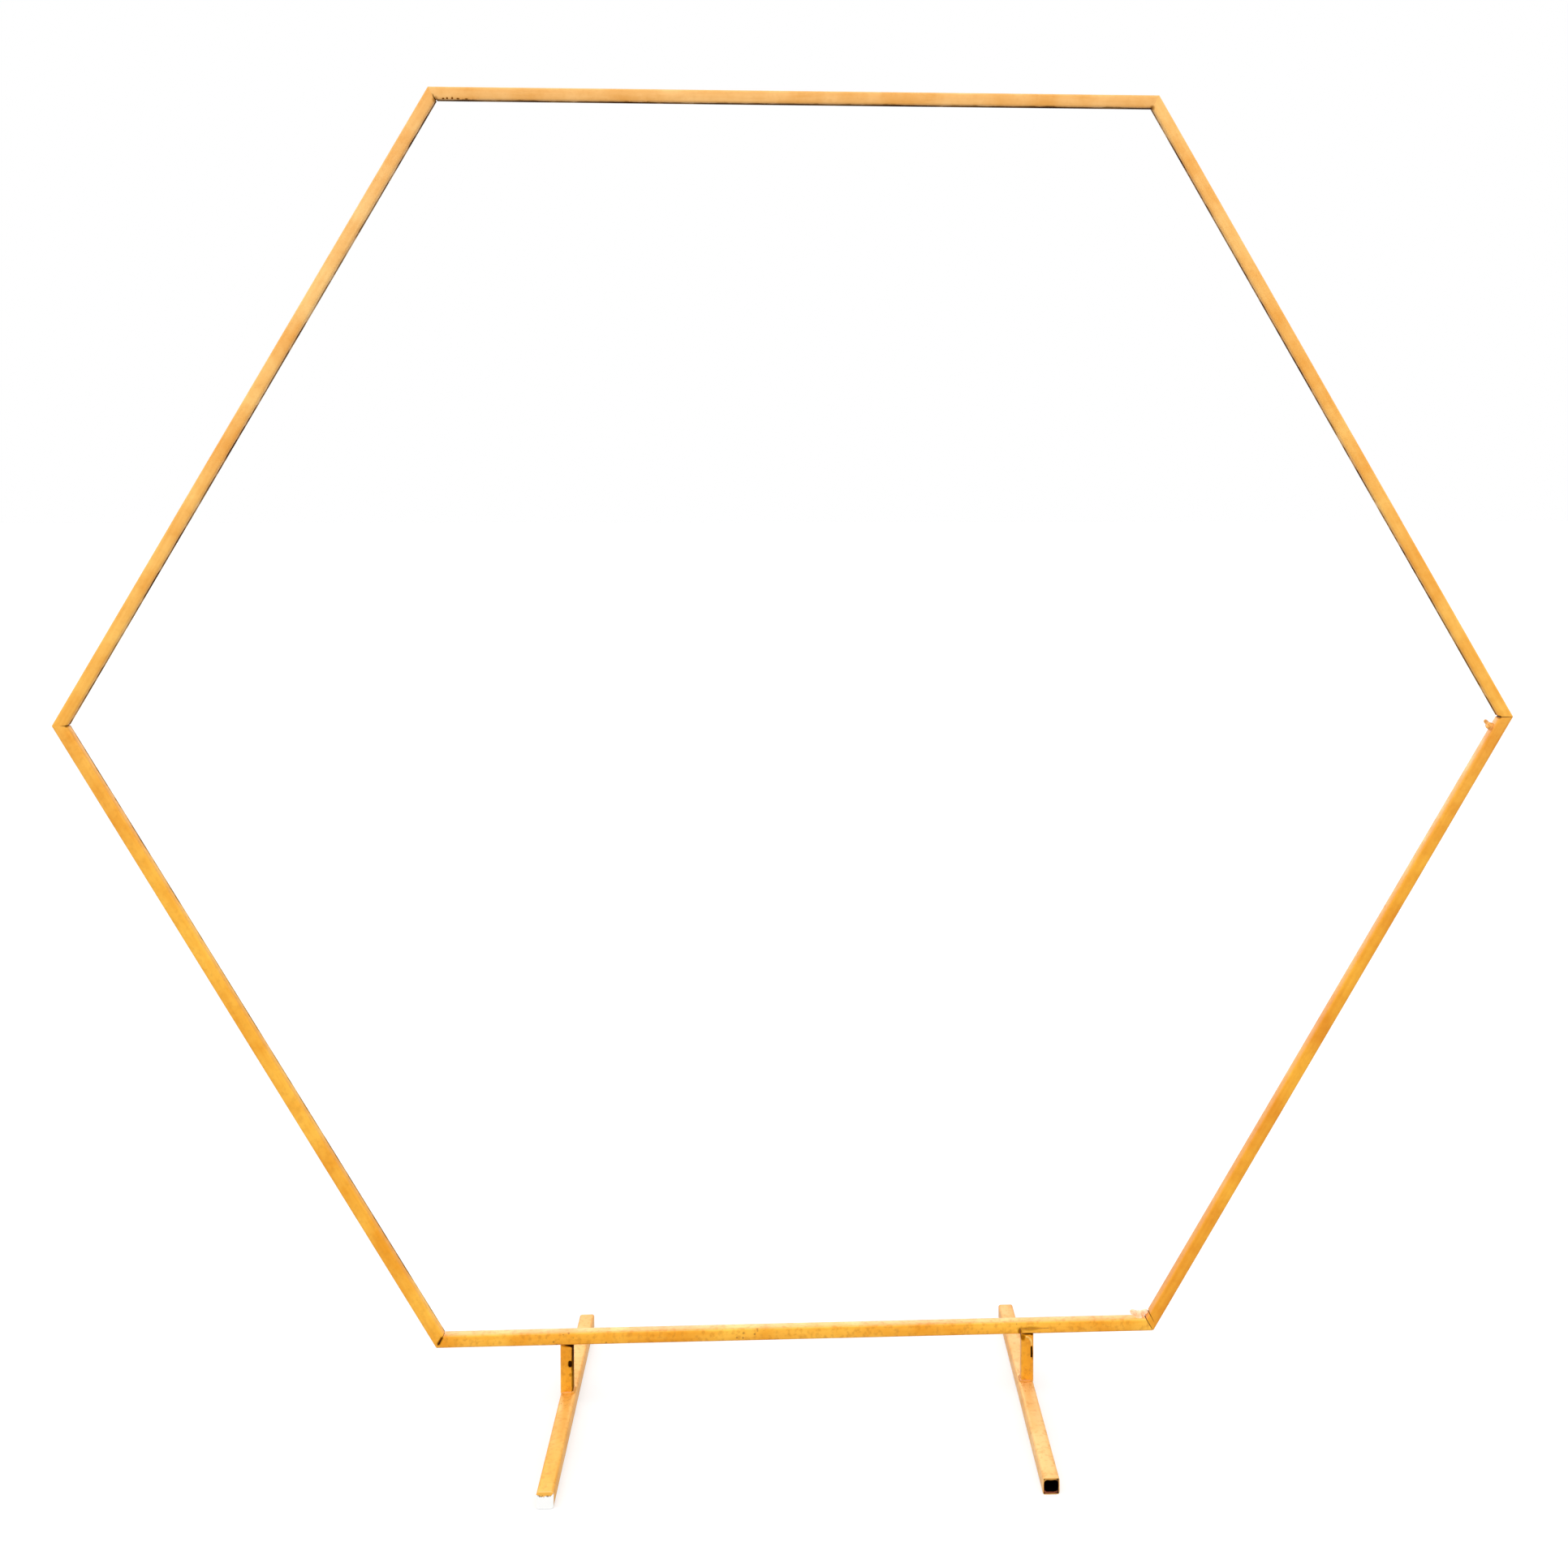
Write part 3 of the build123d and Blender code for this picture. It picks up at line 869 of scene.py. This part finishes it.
# Beads across the backs of the three closed mitres, where nobody ground them flat
half_tube_back = Vector(BACK) * tube / 2
for name, place in (("top_left", (-1, 1)), ("top_right", (1, 1)), ("left", (-1, 0))):
    outer_end = corner(place, 2 * MM) + half_tube_back
    inner_end = corner(place, tube - 2.5 * MM) + half_tube_back
    weld_bead(
        name + "_mitre_weld",
        straight_path(outer_end, inner_end, fine_step),
        BACK,
        half_width=2.6 * MM,
        height=1.0 * MM,
        pitch=2.0 * MM,
        seed=place[0],
        material=weld_paints["left"],
    )

# Sags of paint that hang along the lower front edge of the top bar: some near its left end, some
# near its right end and some anywhere between
random = np.random.default_rng(7)
sag_spans = (
    (-half_level + 42.5 * MM, -half_level + 82.5 * MM, 4),
    (half_level - 52.5 * MM, half_level - 32.5 * MM, 3),
    (-half_level + 40 * MM, half_level - 40 * MM, 9),
)
sag_x = np.concatenate([random.uniform(*span) for span in sag_spans])
sag_count = len(sag_x)
sag_y = np.full(sag_count, top_low.y + 1.2 * MM)
sag_z = np.full(sag_count, top_low.z + 0.9 * MM)
sag_outwards = np.tile([0.0, -0.5, -0.87], (sag_count, 1))
sag_radii = random.uniform(0.7, 1.5, sag_count) * MM
sag_centres = np.stack([sag_x, sag_y, sag_z], axis=-1)
top_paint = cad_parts["top_bar"].material_slots[0].material
drops("top_bar_paint_sags", sag_centres, sag_outwards, sag_radii, top_paint)

# Weld spatter on the feet and the fronts of the risers, thickest close to the beads
drops_on_foot = 26
drops_on_riser = 14
beside_edge = 4 * MM
share_in_front = 0.6
crowding = 1.6
for side, (riser_low, riser_high, foot_low, foot_high) in STAND.items():
    foot_x = random.uniform(foot_low.x + beside_edge, foot_high.x - beside_edge, drops_on_foot)
    away = random.uniform(0, 1, drops_on_foot) ** crowding * 38 * MM + beside_edge
    in_front = random.uniform(0, 1, drops_on_foot) < share_in_front
    foot_y = np.where(in_front, riser_low.y - away, riser_high.y + away)
    foot_z = np.full(drops_on_foot, foot_high.z)
    riser_x = random.uniform(riser_low.x + beside_edge, riser_high.x - beside_edge, drops_on_riser)
    riser_y = np.full(drops_on_riser, riser_low.y)
    riser_z = foot_high.z + beside_edge + random.uniform(0, 1, drops_on_riser) ** crowding * 26 * MM
    on_foot = np.stack([foot_x, foot_y, foot_z], axis=-1)
    on_riser = np.stack([riser_x, riser_y, riser_z], axis=-1)
    drop_outwards = np.concatenate([np.tile(UP, (drops_on_foot, 1)), np.tile(FRONT, (drops_on_riser, 1))])
    drop_radii = random.uniform(0.3, 0.9, drops_on_foot + drops_on_riser) * MM
    drop_centres = np.concatenate([on_foot, on_riser])
    drops(side + "_weld_spatter", drop_centres, drop_outwards, drop_radii, weld_paints[side])

# Burr that the saw turned in round the open front of the right foot:
# P(u, v) = C + (outer(u) + inner(u)) / 2 + (outer(u) - inner(u)) / 2 cos v + lip sin v Y. The
# outer line lies just inside the wall and the inner one is rounder, with a dip at the top where
# the tube's own seam runs
lip = 1.2 * MM
seam_dip = 0.9 * MM
seam_half_width = 3.5 * MM
bore_half = foot_tube / 2 - foot_wall
mouth_x = (right_foot_low.x + right_foot_high.x) / 2
mouth_z = (right_foot_low.z + right_foot_high.z) / 2
mouth = Vector((mouth_x, right_foot_low.y + lip, mouth_z))
turns = np.linspace(0, 2 * pi, 144, endpoint=False)
outer_x, outer_z = rounded_square(turns, bore_half + 0.4 * MM, bore_half + 0.4 * MM, 10)
inner_x, inner_z = rounded_square(turns, bore_half - 0.7 * MM, bore_half - 2.0 * MM, 4)
inner_z -= np.where(inner_z > 0, seam_dip * np.exp(-((inner_x / seam_half_width) ** 2)), 0)
level = np.zeros_like(turns)
outer = np.stack([outer_x, level, outer_z], axis=-1)[:, None]
inner = np.stack([inner_x, level, inner_z], axis=-1)[:, None]
angle = np.linspace(0, 2 * pi, 12, endpoint=False)[None, :, None]
burr = (outer + inner) / 2 + (outer - inner) / 2 * np.cos(angle) + lip * np.sin(angle) * np.array(BACK)
burr_finish = rusty_cut_edge("rusty_cut_edge", mouth)
surface_piece("right_foot_cut_burr", (np.array(mouth) + burr)[None], burr_finish, joined=True)

# Floor, light and camera


def seen_directly(tree):
    """1 for rays that show the backdrop to the camera, in gloss or through glass, 0 for bounced light."""
    ray = add_node(tree, "LightPath").outputs
    seen = add_node(tree, "Math", (ray["Is Camera Ray"], ray["Is Glossy Ray"]), operation="MAXIMUM")
    return add_node(tree, "Math", (seen, ray["Is Transmission Ray"]), operation="MAXIMUM")


def paper_floor(name):
    """Matt white paper, which glows where it is seen and is grey where it only lights the arch."""
    material, tree = new_material(name)
    paper = add_node(tree, "BsdfDiffuse", {"Color": colour("#bcbcbc")})
    glow = add_node(tree, "Emission", {"Color": colour("#ffffff"), "Strength": 0.53})
    pale = add_node(tree, "AddShader", (paper, glow))
    dull = add_node(tree, "BsdfDiffuse", {"Color": colour("#8c8c8c")})
    surface = add_node(tree, "MixShader", (seen_directly(tree), dull, pale))
    add_node(tree, "OutputMaterial", {"Surface": surface})
    return material


floor_half = 60.0
floor_corners = [(x * floor_half, y * floor_half, 0) for x, y in ((-1, -1), (1, -1), (1, 1), (-1, 1))]
floor_mesh = bpy.data.meshes.new("floor")
floor_mesh.from_pydata(floor_corners, [], [(0, 1, 2, 3)])
floor_mesh.materials.append(paper_floor("matt_paper_floor"))
floor = bpy.data.objects.new("floor", floor_mesh)
bpy.context.scene.collection.objects.link(floor)

world = bpy.data.worlds.new("white_studio")
bpy.context.scene.world = world
world.use_nodes = True
world_tree = world.node_tree
world_tree.nodes.clear()
strength = add_node(world_tree, "MapRange", (seen_directly(world_tree), 0.0, 1.0, 0.5, 1.0))
sky = add_node(world_tree, "Background", {"Color": colour("#ffffff"), "Strength": strength})
add_node(world_tree, "OutputWorld", {"Surface": sky})


def soft_sun(name, comes_from, strength, spread, mirrored=True):
    """A broad, far lamp; comes_from points from the arch towards it."""
    data = bpy.data.lights.new(name, "SUN")
    data.energy = strength
    data.angle = radians(spread)
    lamp = bpy.data.objects.new(name, data)
    lamp.rotation_euler = Vector(comes_from).to_track_quat("Z", "Y").to_euler()
    lamp.visible_glossy = mirrored
    bpy.context.scene.collection.objects.link(lamp)


soft_sun("key_light", (-0.1, -0.45, 1.0), 0.7, 45)
soft_sun("front_light", (0.0, -1.0, 0.35), 1.3, 40, mirrored=False)
soft_sun("back_light", (-0.1, 0.9, 0.42), 1.0, 45)
soft_sun("left_light", (-1.0, -0.2, 0.4), 1.0, 50, mirrored=False)
soft_sun("right_light", (1.0, -0.2, 0.4), 0.8, 50, mirrored=False)

# Camera, from a fit of the hexagon's corners, the risers and the feet to the photograph. The axis
# pixel is where the lens points, from the left and the top of the photograph
frame_pixels = 1932
focal_pixels = 2402.08
axis_pixel_x = 1107.38
axis_pixel_y = 662.74
eye_height = 1.49344
eye_distance = 3.09948
eye_sideways = -0.01758
tilt = radians(88.2046)
roll = radians(-0.0424)
heading = radians(-3.2866)
camera_data = bpy.data.cameras.new("camera")
camera_data.sensor_width = 36
camera_data.lens = focal_pixels / frame_pixels * camera_data.sensor_width
camera_data.shift_x = 0.5 - axis_pixel_x / frame_pixels
camera_data.shift_y = axis_pixel_y / frame_pixels - 0.5
camera_data.clip_end = 200
camera = bpy.data.objects.new("camera", camera_data)
camera.location = (eye_sideways, -eye_distance, eye_height)
camera.rotation_euler = (tilt, roll, heading)
bpy.context.scene.collection.objects.link(camera)
bpy.context.scene.camera = camera
bpy.context.scene.view_settings.view_transform = "Standard"
